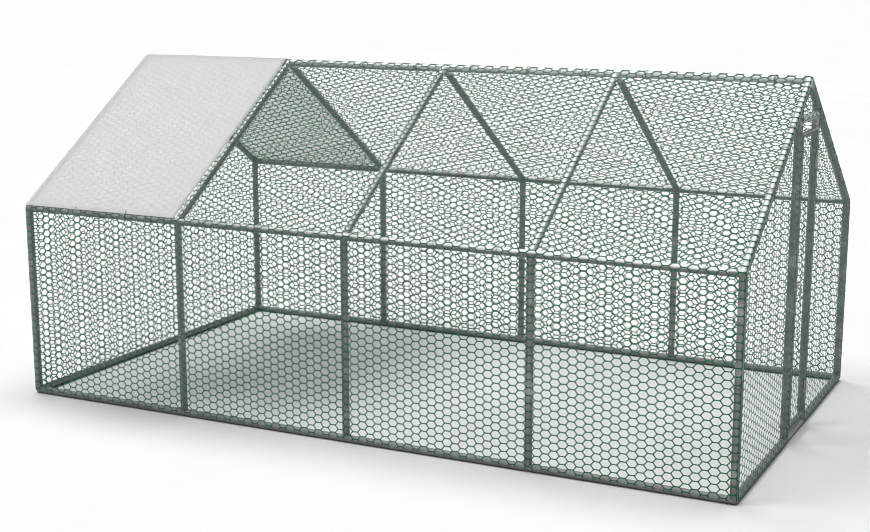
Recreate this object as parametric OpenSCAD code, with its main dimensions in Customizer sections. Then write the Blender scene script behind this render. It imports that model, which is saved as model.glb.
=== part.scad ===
// Walk-in chicken run: a gabled frame of steel tubes on spigot connectors, covered with
// hexagonal wire netting, with a roof sheet over the rear bay and a net door in the front gable.
// X runs along the run towards the door, Y across it, Z up; the ground is at Z = 0.

/* [Frame] */
// Number of bays along the run
bay_count = 4; // [2:1:4]
// Length of one bay, post axis to post axis
bay_len = 1000; // [850:10:1300]
// Width of the run between the side post axes
run_w = 2260; // [1900:10:2800]
// Height of the eave rail axis above the bottom rail axis
eave_rise = 1040; // [900:10:1250]
// Height of the ridge axis above the bottom rail axis
ridge_rise = 1800; // [1500:10:2200]
// Outside diameter of the frame tubes
tube_d = 38; // [32:1:44]
// Wall of the frame tubes
tube_wall = 1.2; // [0.8:0.1:2]

/* [Connectors] */
// Length of a connector arm, joint centre to the tube's end
hub_arm = 60; // [50:1:80]
// Length of the spigot that enters the tube
spigot_len = 50; // [40:1:60]
// Wall of the spigot and of the connector
spigot_wall = 2.5; // [1.5:0.1:4]
// Clearance all round a spigot in its tube
spigot_play = 0.2; // [0.1:0.05:0.5]
// How far the rounded middle of a connector stands proud of its arms
hub_crown = 0.4; // [0.2:0.1:0.5]

/* [Screws] */
// Shank diameter of the connector screws
screw_d = 4.2; // [3:0.1:6]
// Length of the screw under its head
screw_len = 10; // [7:0.5:12]
// Head diameter
screw_head_d = 9; // [7:0.5:12]
// Head height
screw_head_h = 3.2; // [2:0.1:5]
// Clearance all round a screw in its hole
screw_play = 0.2; // [0.1:0.05:0.5]
// Distance of a connector screw from the tube's end
screw_inset = 30; // [15:1:32]

/* [Door] */
// Distance between the two door post axes
door_pitch = 380; // [340:5:600]
// Gap between the lintel and the underside of the rafters, at the door posts
lintel_gap = 15; // [8:1:200]
// Outside diameter of the door leaf tubes
leaf_d = 25; // [20:1:30]
// Wall of the door leaf tubes
leaf_wall = 1.2; // [0.8:0.1:2]
// Gap between the leaf and each door post
leaf_side_gap = 8; // [7:0.5:12]
// Gap between the leaf and the lintel
leaf_head_gap = 42; // [20:1:60]
// Gap between the leaf and the bottom rail
leaf_foot_gap = 22; // [18:1:60]
// Welding gap at the shaped ends of the door posts and lintel
weld_gap = 0.3; // [0.2:0.05:0.5]

/* [Hinges and latch] */
// Length of one hinge
hinge_len = 66; // [48:1:90]
// Outside diameter of the hinge barrel
barrel_d = 11; // [10:0.5:14]
// Diameter of the hinge pin
pin_d = 6; // [4:0.5:7]
// Clearance all round the pin, and between the knuckles
hinge_play = 0.2; // [0.15:0.05:0.4]
// Thickness of the hinge wings and of the latch plates
plate_t = 2.5; // [1.5:0.1:3]
// How far a hinge wing or latch plate reaches past the middle of its tube
plate_reach = 8; // [6:0.5:10]
// Diameter of the latch bolt
bolt_d = 8; // [6:0.5:9]
// Clearance all round the bolt in its sleeve
bolt_play = 0.2; // [0.15:0.05:0.4]
// Clearance between the bolt and its keeper
keeper_play = 1; // [0.5:0.1:2]
// Wall of the latch sleeve
sleeve_wall = 2.3; // [1.5:0.1:3]
// Length of the latch sleeve
sleeve_len = 34; // [28:1:40]
// Length of the keeper
keeper_len = 12; // [8:1:16]
// Travel of the bolt from drawn back to shot
bolt_travel = 36; // [34:1:44]
// How far the drawn bolt still stands out of its sleeve
bolt_rest = 3; // [2:0.5:6]
// Gap between the sleeve and the handle of the shot bolt
handle_gap = 3; // [2:0.5:8]
// Room round a screw head on a latch plate
plate_margin = 1; // [0.5:0.1:3]
// Length of the bolt's bent handle
handle_len = 45; // [30:1:60]

/* [Netting] */
// Wanted width of one column of meshes
mesh_w = 160; // [140:5:220]
// Wanted height of one mesh
mesh_h = 149; // [130:1:200]
// Share of a column that its twisted strands take up
mesh_twist = 0.56; // [0.4:0.02:0.7]
// Width of a strand of netting
strand_w = 4; // [2.5:0.1:6]
// Thickness of the netting
net_t = 2.4; // [1.5:0.1:3]
// Width of the edge wire round each net
selvedge_w = 3.4; // [2.5:0.1:3.8]
// Gap between the netting and the tubes under it
net_gap = 0.7; // [0.7:0.05:0.95]

/* [Ties] */
// Width of a cable tie's band
tie_w = 4.8; // [3:0.1:6]
// Thickness of a cable tie's band
tie_t = 1.4; // [1:0.1:2]
// Gap between a tie and what it holds
tie_play = 0.4; // [0.3:0.05:0.6]
// Width of a tie's lock, along the tube
tie_lock_w = 5.4; // [5:0.1:8]
// Length of a tie's lock, along the band
tie_lock_l = 6; // [5:0.1:9]
// Height of a tie's lock
tie_lock_h = 3.4; // [2.5:0.1:5]

/* [Cover] */
// Thickness of the roof sheet
cover_t = 1.5; // [1:0.1:3]
// How far the sheet passes the rear gable rafters
cover_end_lap = 15; // [5:1:18]
// How far the sheet stops short of the second pair of rafters
cover_stop = 15; // [5:1:40]
// How far the sheet passes the eave rails
cover_eave_lap = 3; // [1:0.5:3]
// Diameter of the eyelets in the sheet
eyelet_d = 12; // [10:0.5:16]

/* [Hidden] */
$fn = 64;
near = -1;
far = 1;
sides = [near, far];
// Overshoot that keeps a cutting tool clear of the face it cuts
over = 1;
// Gap under a flat plate or head that sits on a round tube
seat_gap = 0.1;

tube_colour = [0.36, 0.38, 0.37];
hub_colour = [0.40, 0.42, 0.41];
steel_colour = [0.62, 0.64, 0.65];
net_colour = [0.20, 0.33, 0.26];
tie_colour = [0.14, 0.20, 0.16];
cover_colour = [0.87, 0.87, 0.87];

tube_r = tube_d / 2;
leaf_r = leaf_d / 2;
half_l = bay_count * bay_len / 2;
half_w = run_w / 2;
eave_z = tube_r + eave_rise;
ridge_z = tube_r + ridge_rise;
roof_rise = ridge_rise - eave_rise;
slope_deg = atan2(roof_rise, half_w);
slope_len = norm([roof_rise, half_w]);

// Joint centres of the frame
function post_x(i) = i * bay_len - half_l;
function foot(i, side) = [post_x(i), side * half_w, tube_r];
function eave(i, side) = [post_x(i), side * half_w, eave_z];
function ridge(i) = [post_x(i), 0, ridge_z];

// Directions into the run from a side wall, a roof slope and an end
function wall_in(side) = [0, -side, 0];
function roof_in(side) = [0, -side * sin(slope_deg), -cos(slope_deg)];
function end_in(end) = [-end, 0, 0];
down = [0, 0, -1];

// Each frame tube is [joint at one end, joint at the other, direction into the run]
bays = [0 : bay_count - 1];
posts = [0 : bay_count];
inner_posts = [1 : bay_count - 1];
end_posts = [0, bay_count];
function bottom_tubes(side) = [for (i = bays) [foot(i, side), foot(i + 1, side), wall_in(side)]];
function eave_tubes(side) = [for (i = bays) [eave(i, side), eave(i + 1, side), wall_in(side)]];
function post_tube(i, side) = [foot(i, side), eave(i, side), wall_in(side)];
function rafter_tube(i, side) = [eave(i, side), ridge(i), roof_in(side)];
function end_tube(end) =
    let (i = end > 0 ? bay_count : 0)
    [foot(i, near), foot(i, far), end_in(end)];
ridge_tubes = [for (i = bays) [ridge(i), ridge(i + 1), down]];
all_tubes = concat(
    ridge_tubes,
    [end_tube(-1), end_tube(1)],
    [for (side = sides) each concat(bottom_tubes(side), eave_tubes(side))],
    [for (side = sides, i = posts) post_tube(i, side)],
    [for (side = sides, i = posts) rafter_tube(i, side)]
);

// What a connector at a joint holds: [far end of the tube, direction into the run]
function arms_at(joint) = [
    for (t = all_tubes)
        if (t[0] == joint || t[1] == joint)
            [t[0] == joint ? t[1] : t[0], t[2]]
];
function unit(v) = v / norm(v);
spigot_d = tube_d - 2 * tube_wall - 2 * spigot_play;
hub_bore_d = spigot_d - 2 * spigot_wall;
screw_reach = hub_arm + screw_inset;
screw_hole_d = screw_d + 2 * screw_play;
function screw_point(from, to) = from + unit(to - from) * screw_reach;

// Door frame and leaf
function rafter_z(y) = ridge_z - abs(y) * roof_rise / half_w;
jamb_y = door_pitch / 2;
lintel_z = rafter_z(jamb_y) - tube_r / cos(slope_deg) - lintel_gap - tube_r;
leaf_half = jamb_y - tube_r - leaf_side_gap;
stile_y = leaf_half - leaf_r;
leaf_x = half_l + tube_r - leaf_r;
leaf_bottom = tube_d + leaf_foot_gap;
leaf_top = lintel_z - tube_r - leaf_head_gap;
face_x = half_l + tube_r;

// Netting: each panel's meshes are stretched a little so that whole ones fill it
cols_per_bay = max(2, round(bay_len / mesh_w));
wall_pitch = bay_len / cols_per_bay;
wall_row = eave_rise / max(2, round(eave_rise / mesh_h));
roof_row = slope_len / max(2, round(slope_len / mesh_h));
function paired_cols(width) = 2 * max(1, round(width / (2 * mesh_w)));
gable_pitch = run_w / paired_cols(run_w);
side_w = half_w - jamb_y;
side_pitch = side_w / paired_cols(side_w);
over_pitch = door_pitch / paired_cols(door_pitch);
leaf_net_h = leaf_top - leaf_bottom - leaf_d;
leaf_pitch = 2 * stile_y / paired_cols(2 * stile_y);
leaf_row = leaf_net_h / max(2, round(leaf_net_h / mesh_h));
least_gap_area = 250;
// Room round a fitting where a net is snipped for it
notch_gap = 1;

// Hinges and latch sit on row boundaries of the leaf's net, between its ties
leaf_row_count = round(leaf_net_h / leaf_row);
leaf_net_z = leaf_bottom + leaf_r;
hinge_heights = [leaf_net_z + leaf_row, leaf_net_z + leaf_net_h - leaf_row];
latch_z = leaf_net_z + floor(leaf_row_count / 2) * leaf_row;
fitting_heights = concat(hinge_heights, [latch_z]);
fitting_room = hinge_len / 2 + 2 * tie_w;

plate_x = face_x + seat_gap;
barrel_r = barrel_d / 2;
// The barrel stands just clear of the plane that the wings lie on
barrel_lift = 0.4;
pin_x = plate_x + barrel_r + barrel_lift;
pin_y = jamb_y - tube_r - leaf_side_gap / 2;
knuckle_len = hinge_len / 3;
wing_gap = 0.8;

bolt_r = bolt_d / 2;
sleeve_d = bolt_d + 2 * bolt_play + 2 * sleeve_wall;
// The sleeve is sunk this far into its plate
sleeve_sink = 0.5;
bolt_x = plate_x + plate_t + sleeve_d / 2 - sleeve_sink;
bolt_tip_y = stile_y + sleeve_len / 2 + bolt_rest;
handle_y = stile_y - sleeve_len / 2 - bolt_travel - bolt_r - handle_gap;
handle_bend = bolt_d * 0.9;
// The keeper is a strap bent over the bolt
strap_in = bolt_r + keeper_play;
strap_out = strap_in + plate_t;
// The latch plates take a screw head above and below the sleeve and the strap
latch_screw_z = max(sleeve_d / 2, strap_out) + plate_margin + screw_head_d / 2;
latch_plate_h = 2 * latch_screw_z + screw_head_d + 2 * plate_margin;
// Heights of the screws through the hinge wings on the far side and the latch plates on the near side
function fitting_screws(side) = side == far
    ? [for (z = hinge_heights, end = [-1, 1]) z + end * knuckle_len]
    : [for (end = [-1, 1]) latch_z + end * latch_screw_z];

// Ties reach round a tube and the net on it
tie_inner = net_gap + net_t + tie_play;
function tie_r(r) = r + tie_inner;
cover_in = tie_r(tube_r) + tie_t + tie_play;
cover_out = cover_in + cover_t;
cover_tie_r = cover_out + tie_play;
// Where a cover tie passes through the sheet, up the slope from the eave
eyelet_rise = (sqrt(pow(cover_tie_r, 2) - pow(cover_out, 2))
    + sqrt(pow(cover_tie_r + tie_t, 2) - pow(cover_in, 2))) / 2;

// Puts children with +Z running from a towards b
module along(a, b) {
    d = b - a;
    translate(a)
        rotate([0, acos(d.z / norm(d)), atan2(d.y, d.x)])
            children();
}

// Puts children at a point with their Z along one direction and their X along another
module facing(point, z_dir, x_dir) {
    y_dir = cross(z_dir, x_dir);
    multmatrix([
        [x_dir.x, y_dir.x, z_dir.x, point.x],
        [x_dir.y, y_dir.y, z_dir.y, point.y],
        [x_dir.z, y_dir.z, z_dir.z, point.z]
    ])
        children();
}

// Turns a flat outline in (Y, Z) into the plane of a gable, thickness along +X
module gable_plane(x) {
    translate([x, 0, 0]) rotate([90, 0, 90]) children();
}

module pipe(len, d, wall) {
    difference() {
        cylinder(h = len, d = d);
        translate([0, 0, -over]) cylinder(h = len + 2 * over, d = d - 2 * wall);
    }
}

// Frame tubes and their connectors
module screw_hole(point, inward) {
    along(point, point + inward) cylinder(h = tube_d, d = screw_hole_d);
}

module frame_tube(tube) {
    len = norm(tube[1] - tube[0]) - 2 * hub_arm;
    color(tube_colour) difference() {
        along(tube[0], tube[1]) translate([0, 0, hub_arm]) pipe(len, tube_d, tube_wall);
        screw_hole(screw_point(tube[0], tube[1]), tube[2]);
        screw_hole(screw_point(tube[1], tube[0]), tube[2]);
    }
}

module hub(joint) {
    arms = arms_at(joint);
    color(hub_colour) difference() {
        union() {
            translate(joint) sphere(r = tube_r + hub_crown);
            for (arm = arms) along(joint, arm[0]) {
                cylinder(h = hub_arm, d = tube_d);
                cylinder(h = hub_arm + spigot_len, d = spigot_d);
            }
        }
        for (arm = arms) {
            along(joint, arm[0]) translate([0, 0, tube_r])
                cylinder(h = hub_arm + spigot_len, d = hub_bore_d);
            screw_hole(screw_point(joint, arm[0]), arm[1]);
        }
    }
}

// Pan head screw, head outwards along +Z from the surface at the origin
module screw() {
    head_r = screw_head_d / 2;
    crown_r = head_r * 0.7;
    rotate_extrude()
        polygon([
            [0, -screw_len], [screw_d / 2, -screw_len], [screw_d / 2, 0], [head_r, 0],
            [head_r, screw_head_h * 0.55], [crown_r, screw_head_h], [0, screw_head_h]
        ]);
}

module frame_screws() {
    color(steel_colour) {
        for (t = all_tubes, flip = [0, 1]) {
            point = screw_point(t[flip], t[1 - flip]) + t[2] * (tube_r + seat_gap);
            along(point, point + t[2]) screw();
        }
        for (side = sides) screws_on_plates(side, side * jamb_y);
    }
}

// Screws through the plates of the hinges or the latch, on a tube at y
module screws_on_plates(side, y) {
    for (z = fitting_screws(side))
        translate([plate_x + plate_t + seat_gap, y, z]) rotate([0, 90, 0]) screw();
}

// Holes for those screws, from inside a tube at y out past its plate
module plate_holes(side, y) {
    for (z = fitting_screws(side))
        translate([leaf_x, y, z]) rotate([0, 90, 0]) cylinder(h = tube_d, d = screw_hole_d);
}

// Door frame: posts shaped to fit the bottom rail and the rafter, and a lintel between them
module weld_cutter(a, b) {
    along(a, b) cylinder(h = norm(b - a), d = tube_d + 2 * weld_gap);
}

module door_post(side) {
    y = side * jamb_y;
    color(tube_colour) difference() {
        translate([half_l, y, tube_r]) pipe(rafter_z(jamb_y) - tube_r, tube_d, tube_wall);
        weld_cutter(foot(bay_count, near), foot(bay_count, far));
        weld_cutter(eave(bay_count, side), ridge(bay_count));
        plate_holes(side, y);
    }
}

module lintel() {
    color(tube_colour) difference() {
        translate([half_l, -jamb_y, lintel_z]) rotate([-90, 0, 0]) pipe(door_pitch, tube_d, tube_wall);
        for (side = sides)
            weld_cutter([half_l, side * jamb_y, 0], [half_l, side * jamb_y, ridge_z]);
    }
}

// Door leaf: four tubes mitred at the corners
module mitred(outline) {
    intersection() {
        children();
        gable_plane(leaf_x - leaf_d) linear_extrude(2 * leaf_d) polygon(outline);
    }
}

module leaf_stile(side) {
    outer = leaf_half + over;
    inner = leaf_half - leaf_d - over;
    color(tube_colour) difference() {
        mitred([
            [side * outer, leaf_bottom - over], [side * outer, leaf_top + over],
            [side * inner, leaf_top - leaf_d - over], [side * inner, leaf_bottom + leaf_d + over]
        ])
            translate([leaf_x, side * stile_y, leaf_bottom - leaf_d])
                pipe(leaf_top - leaf_bottom + 2 * leaf_d, leaf_d, leaf_wall);
        plate_holes(side, side * stile_y);
    }
}

// A rail of the leaf; edge is its outer height, and inward says which way the leaf lies
module leaf_rail(edge, inward) {
    outer = leaf_half + over;
    inner = leaf_half - leaf_d - over;
    color(tube_colour)
        mitred([
            [-outer, edge - inward * over], [outer, edge - inward * over],
            [inner, edge + inward * (leaf_d + over)], [-inner, edge + inward * (leaf_d + over)]
        ])
            translate([leaf_x, -leaf_half - leaf_d, edge + inward * leaf_r])
                rotate([-90, 0, 0]) pipe(2 * (leaf_half + leaf_d), leaf_d, leaf_wall);
}

// Hinges: knuckles and a wing on each tube, with a headed pin through them
module at_hinges() {
    for (z = hinge_heights) translate([pin_x, pin_y, z - hinge_len / 2]) children();
}

// One knuckle with its tab to the wing on the given side of the pin, from z for a length
module knuckle(side, z, len) {
    back = plate_x - pin_x;
    tab_w = barrel_r + wing_gap + over;
    translate([0, 0, z]) {
        cylinder(h = len, d = barrel_d);
        translate([back, side > 0 ? 0 : -tab_w, 0]) cube([plate_t, tab_w, len]);
    }
}

module wing(side, tube_y) {
    inner = barrel_r + wing_gap;
    outer = abs(tube_y - pin_y) + plate_reach;
    translate([plate_x - pin_x, side > 0 ? inner : -outer, 0]) cube([plate_t, outer - inner, hinge_len]);
}

module pin_bore() {
    translate([0, 0, -over]) cylinder(h = hinge_len + 2 * over, d = pin_d + 2 * hinge_play);
}

module hinge_frame_wings() {
    color(steel_colour) difference() {
        at_hinges() difference() {
            union() {
                knuckle(far, 0, knuckle_len - hinge_play);
                knuckle(far, 2 * knuckle_len + hinge_play, knuckle_len - hinge_play);
                wing(far, jamb_y);
            }
            pin_bore();
        }
        plate_holes(far, jamb_y);
    }
}

module hinge_leaf_wings() {
    color(steel_colour) difference() {
        at_hinges() difference() {
            union() {
                knuckle(near, knuckle_len, knuckle_len);
                wing(near, stile_y);
            }
            pin_bore();
        }
        plate_holes(far, stile_y);
    }
}

module hinge_pins() {
    head_h = 2.5;
    head_r = barrel_r - 0.5;
    pin_r = pin_d / 2;
    color(steel_colour) at_hinges()
        rotate_extrude()
            polygon([
                [0, -pin_r], [pin_r - 1, -pin_r], [pin_r, 1 - pin_r], [pin_r, hinge_len + hinge_play],
                [head_r, hinge_len + hinge_play], [head_r, hinge_len + 1.4],
                [head_r - 1.2, hinge_len + head_h], [0, hinge_len + head_h]
            ]);
}

// Latch: a bolt in a sleeve on the leaf, shot into a keeper on the door post
module latch_sleeve() {
    color(steel_colour) difference() {
        union() {
            translate([plate_x, -stile_y - plate_reach, latch_z - latch_plate_h / 2])
                cube([plate_t, 2 * plate_reach, latch_plate_h]);
            translate([bolt_x, -stile_y - sleeve_len / 2, latch_z])
                rotate([-90, 0, 0]) cylinder(h = sleeve_len, d = sleeve_d);
        }
        translate([bolt_x, -stile_y - sleeve_len / 2 - over, latch_z])
            rotate([-90, 0, 0]) cylinder(h = sleeve_len + 2 * over, d = bolt_d + 2 * bolt_play);
        plate_holes(near, -stile_y);
    }
}

module latch_keeper() {
    rise = bolt_x - plate_x;
    color(steel_colour) difference() {
        translate([plate_x, keeper_len / 2 - jamb_y, latch_z])
            rotate([90, 0, 0]) linear_extrude(keeper_len) difference() {
                union() {
                    translate([0, -latch_plate_h / 2]) square([plate_t, latch_plate_h]);
                    translate([0, -strap_out]) square([rise + strap_out, 2 * strap_out]);
                }
                translate([-over, -strap_in]) square([rise + strap_in + over, 2 * strap_in]);
            }
        plate_holes(near, -jamb_y);
    }
}

// The bolt lies drawn back; its inner end bends down into a handle
module latch_bolt() {
    chamfer = bolt_r * 0.35;
    straight = bolt_tip_y - handle_y - handle_bend;
    color(steel_colour) translate([bolt_x, 0, latch_z]) {
        translate([0, -bolt_tip_y, 0]) rotate([-90, 0, 0])
            rotate_extrude()
                polygon([
                    [0, 0], [bolt_r - chamfer, 0], [bolt_r, chamfer], [bolt_r, straight], [0, straight]
                ]);
        translate([0, -handle_y - handle_bend, -handle_bend]) rotate([0, -90, 0])
            rotate_extrude(angle = 90) translate([handle_bend, 0]) circle(r = bolt_r);
        translate([0, -handle_y, -handle_bend - handle_len]) {
            cylinder(h = handle_len, r = bolt_r);
            sphere(r = bolt_r + 1);
        }
    }
}

module door_screws() {
    color(steel_colour) for (side = sides) screws_on_plates(side, side * stile_y);
}

// Netting: a lattice of flat-topped hexagons, cut to each panel's outline
function total(list) = list * [for (v = list) 1];
function following(list, i) = list[(i + 1) % len(list)];
function turned(v) = [-v.y, v.x];
function shape_area(shape) =
    total([for (i = [0 : len(shape) - 1]) cross(shape[i], following(shape, i))]) / 2;

// The part of a convex shape on the inner side of a line through p with inward normal n
function clipped(shape, p, n) = [
    for (i = [0 : len(shape) - 1])
        let (
            a = shape[i],
            b = following(shape, i),
            ahead_a = (a - p) * n,
            ahead_b = (b - p) * n
        )
        each concat(
            ahead_a >= 0 ? [a] : [],
            ahead_a * ahead_b < 0 ? [a + (b - a) * ahead_a / (ahead_a - ahead_b)] : []
        )
];

// The part of a shape that lies inside an outline by more than its edge wire
function inside_edge(shape, outline, i = 0) =
    i == len(outline) || len(shape) < 3 ? shape
    : let (
        a = outline[i],
        n = turned(unit(following(outline, i) - a))
    )
    inside_edge(clipped(shape, a + n * selvedge_w, n), outline, i + 1);

// One open mesh, inset by half a strand all round
function mesh_gap(centre, pitch, row) =
    let (
        half_h = row / 2,
        run = pitch * (1 - mesh_twist),
        slant = norm([half_h, run]),
        tip = pitch * (1 - mesh_twist / 2) - strand_w / 2 * slant / half_h,
        top = half_h - strand_w / 2,
        shoulder = tip - run * top / half_h
    )
    [for (p = [[tip, 0], [shoulder, top], [-shoulder, top], [-tip, 0], [-shoulder, -top], [shoulder, -top]])
        centre + p];

// All meshes of a panel; columns start on its lowest corner, and every second one is half a row down
function net_gaps(outline, pitch, row) =
    let (
        low = [min([for (p = outline) p.x]), min([for (p = outline) p.y])],
        high = [max([for (p = outline) p.x]), max([for (p = outline) p.y])],
        cols = round((high.x - low.x) / pitch),
        rows = ceil((high.y - low.y) / row)
    )
    [
        for (c = [0 : cols], r = [0 : rows])
            let (
                centre = low + [c * pitch, (r + (c % 2 == 0 ? 0.5 : 0)) * row],
                gap = inside_edge(mesh_gap(centre, pitch, row), outline)
            )
            if (len(gap) > 2 && shape_area(gap) > least_gap_area) gap
    ];

// Children are flat shapes to snip out of the net
module net(outline, pitch, row) {
    color(net_colour) linear_extrude(net_t) difference() {
        polygon(outline);
        for (gap = net_gaps(outline, pitch, row)) polygon(gap);
        children();
    }
}

// Where a net is snipped for the hinges or the latch on a tube at y
module notch(y, z, size) {
    translate([y, z]) square(size + [2, 2] * notch_gap, center = true);
}

module hinge_notches(y) {
    for (z = hinge_heights) notch(y, z, [2 * plate_reach, hinge_len]);
}

module latch_notch(y, len) {
    notch(y, latch_z, [2 * plate_reach, latch_plate_h]);
    notch(y, latch_z, [len, sleeve_d]);
}

wall_outline = [[-half_l, tube_r], [half_l, tube_r], [half_l, eave_z], [-half_l, eave_z]];
roof_outline = [[-half_l, 0], [half_l, 0], [half_l, slope_len], [-half_l, slope_len]];
gable_outline = [
    [-half_w, tube_r], [half_w, tube_r], [half_w, eave_z], [0, ridge_z], [-half_w, eave_z]
];
side_outline = [[jamb_y, tube_r], [half_w, tube_r], [half_w, eave_z], [jamb_y, rafter_z(jamb_y)]];
over_outline = [
    [-jamb_y, lintel_z], [jamb_y, lintel_z], [jamb_y, rafter_z(jamb_y)],
    [0, ridge_z], [-jamb_y, rafter_z(jamb_y)]
];
leaf_outline = [
    [-stile_y, leaf_net_z], [stile_y, leaf_net_z],
    [stile_y, leaf_net_z + leaf_net_h], [-stile_y, leaf_net_z + leaf_net_h]
];
net_off = tube_r + net_gap;

module on_side(side) {
    mirror([0, side > 0 ? 1 : 0, 0]) children();
}

module net_wall(side) {
    on_side(side) translate([0, -half_w - net_off, 0]) rotate([90, 0, 0])
        net(wall_outline, wall_pitch, wall_row);
}

module net_roof(side) {
    on_side(side) translate([0, -half_w, eave_z]) rotate([slope_deg, 0, 0]) translate([0, 0, net_off])
        net(roof_outline, wall_pitch, roof_row);
}

module net_rear_gable() {
    mirror([1, 0, 0]) gable_plane(half_l + net_off) net(gable_outline, gable_pitch, wall_row);
}

module net_front_gable(side) {
    mirror([0, side > 0 ? 0 : 1, 0]) gable_plane(half_l + net_off)
        net(side_outline, side_pitch, wall_row)
            if (side == far) hinge_notches(jamb_y);
            else latch_notch(jamb_y, keeper_len);
}

module net_over_door() {
    gable_plane(half_l + net_off) net(over_outline, over_pitch, wall_row);
}

module net_door() {
    gable_plane(half_l + net_off) net(leaf_outline, leaf_pitch, leaf_row) {
        hinge_notches(stile_y);
        latch_notch(-stile_y, sleeve_len);
    }
}

// Cable ties: a band round a tube and the edge of its net, with the lock on the inner side
module tie(point, axis, inward, radius) {
    facing(point, axis, inward) {
        rotate_extrude()
            translate([radius, -tie_w / 2]) square([tie_t, tie_w]);
        translate([radius + tie_t / 2, -tie_lock_l / 2, -tie_lock_w / 2])
            cube([tie_lock_h, tie_lock_l, tie_lock_w]);
    }
}

along_x = [1, 0, 0];
along_y = [0, 1, 0];
up = [0, 0, 1];
// Ties sit at the middle of every second mesh along an edge
tie_cols = [1 : 2 : cols_per_bay - 1];
// The roof sheet's ties take the meshes between them
cover_cols = [2 : 2 : cols_per_bay - 1];
wall_rows = round(eave_rise / wall_row);
wall_tie_heights = [for (r = [1 : 2 : wall_rows - 2]) tube_r + (r + 0.5) * wall_row];
function clear_of_fittings(z) = min([for (f = fitting_heights) abs(z - f)]) > fitting_room;
jamb_rows = floor((rafter_z(jamb_y) - tube_r) / wall_row) - 1;
jamb_tie_heights = [
    for (r = [0 : 2 : jamb_rows])
        let (z = tube_r + (r + 0.5) * wall_row)
        if (clear_of_fittings(z)) z
];
leaf_tie_heights = [
    for (r = [0 : leaf_row_count - 1])
        let (z = leaf_net_z + (r + 0.5) * leaf_row)
        if (clear_of_fittings(z) && min([for (j = jamb_tie_heights) abs(z - j)]) > 3 * tie_w) z
];

// True if a gap of a net holds a point with room for a tie's band round it
function is_open(point, gaps, room) =
    len([
        for (g = gaps)
            if (min([
                for (i = [0 : len(g) - 1])
                    (point - g[i]) * turned(unit(following(g, i) - g[i]))
            ]) > room) 1
    ]) > 0;

// Heights up the slope at which a tie round a gable rafter also passes through the gable's net
function rafter_ties(gaps) = [
    for (r = [0 : round(slope_len / roof_row) - 1])
        let (
            s = (r + 0.5) * roof_row,
            axis = [half_w - s * cos(slope_deg), eave_z + s * sin(slope_deg)],
            dip = sqrt(pow(tie_r(tube_r) + tie_t / 2, 2) - pow(net_off + net_t / 2, 2)),
            point = axis - dip * [sin(slope_deg), cos(slope_deg)],
            off_screw = min(abs(s - screw_reach), abs(slope_len - s - screw_reach))
        )
        if (is_open(point, gaps, tie_w) && off_screw > screw_head_d) s
];

module rafter_tie_row(i, side, heights) {
    for (s = heights) {
        point = eave(i, side) + unit(ridge(i) - eave(i, side)) * s;
        tie(point, unit(ridge(i) - eave(i, side)), roof_in(side), tie_r(tube_r));
    }
}

module frame_ties() {
    color(tie_colour) {
        for (side = sides, c = cover_cols)
            tie(eave(0, side) + [c * wall_pitch, 0, 0], along_x, wall_in(side), cover_tie_r);
        for (i = bays, c = tie_cols) {
            x = [c * wall_pitch, 0, 0];
            tie(ridge(i) + x, along_x, down, tie_r(tube_r));
            for (side = sides) tie(eave(i, side) + x, along_x, wall_in(side), tie_r(tube_r));
        }
        for (i = end_posts, side = sides, z = wall_tie_heights)
            tie([post_x(i), side * half_w, z], up, wall_in(side), tie_r(tube_r));
        for (side = sides, z = jamb_tie_heights)
            tie([half_l, side * jamb_y, z], up, end_in(1), tie_r(tube_r));
        for (side = sides) {
            rafter_tie_row(0, side, rafter_ties(net_gaps(gable_outline, gable_pitch, wall_row)));
            rafter_tie_row(bay_count, side, rafter_ties(net_gaps(side_outline, side_pitch, wall_row)));
        }
    }
}

module door_ties() {
    color(tie_colour) {
        for (side = sides, z = leaf_tie_heights)
            tie([leaf_x, side * stile_y, z], up, end_in(1), tie_r(leaf_r));
        for (z = [leaf_bottom + leaf_r, leaf_top - leaf_r])
            tie([leaf_x, 0, z], along_y, end_in(1), tie_r(leaf_r));
    }
}

// Roof sheet over the rear bay, folded over the ridge
// A point above a slope: t up it from the eave axis, d out from the rafter axis
function above_slope(side, t, d) = [
    side * (half_w - t * cos(slope_deg) + d * sin(slope_deg)),
    eave_z + t * sin(slope_deg) + d * cos(slope_deg)
];
function fold(d) = [
    for (a = [90 + slope_deg : -slope_deg / 4 : 90 - slope_deg])
        [d * cos(a), ridge_z + d * sin(a)]
];
function reversed(list) = [for (i = [len(list) - 1 : -1 : 0]) list[i]];

module cover() {
    outer = concat(
        [above_slope(near, -cover_eave_lap, cover_out)], fold(cover_out),
        [above_slope(far, -cover_eave_lap, cover_out)]
    );
    inner = concat(
        [above_slope(near, -cover_eave_lap, cover_in)], fold(cover_in),
        [above_slope(far, -cover_eave_lap, cover_in)]
    );
    len = bay_len + cover_end_lap - cover_stop;
    color(cover_colour) difference() {
        gable_plane(-half_l - cover_end_lap) linear_extrude(len) polygon(concat(outer, reversed(inner)));
        for (side = sides, c = cover_cols)
            facing(eave(0, side) + [c * wall_pitch, 0, 0], -roof_in(side), along_x)
                translate([0, -side * eyelet_rise, cover_in - over])
                    cylinder(h = cover_t + 2 * over, d = eyelet_d);
    }
}

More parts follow.
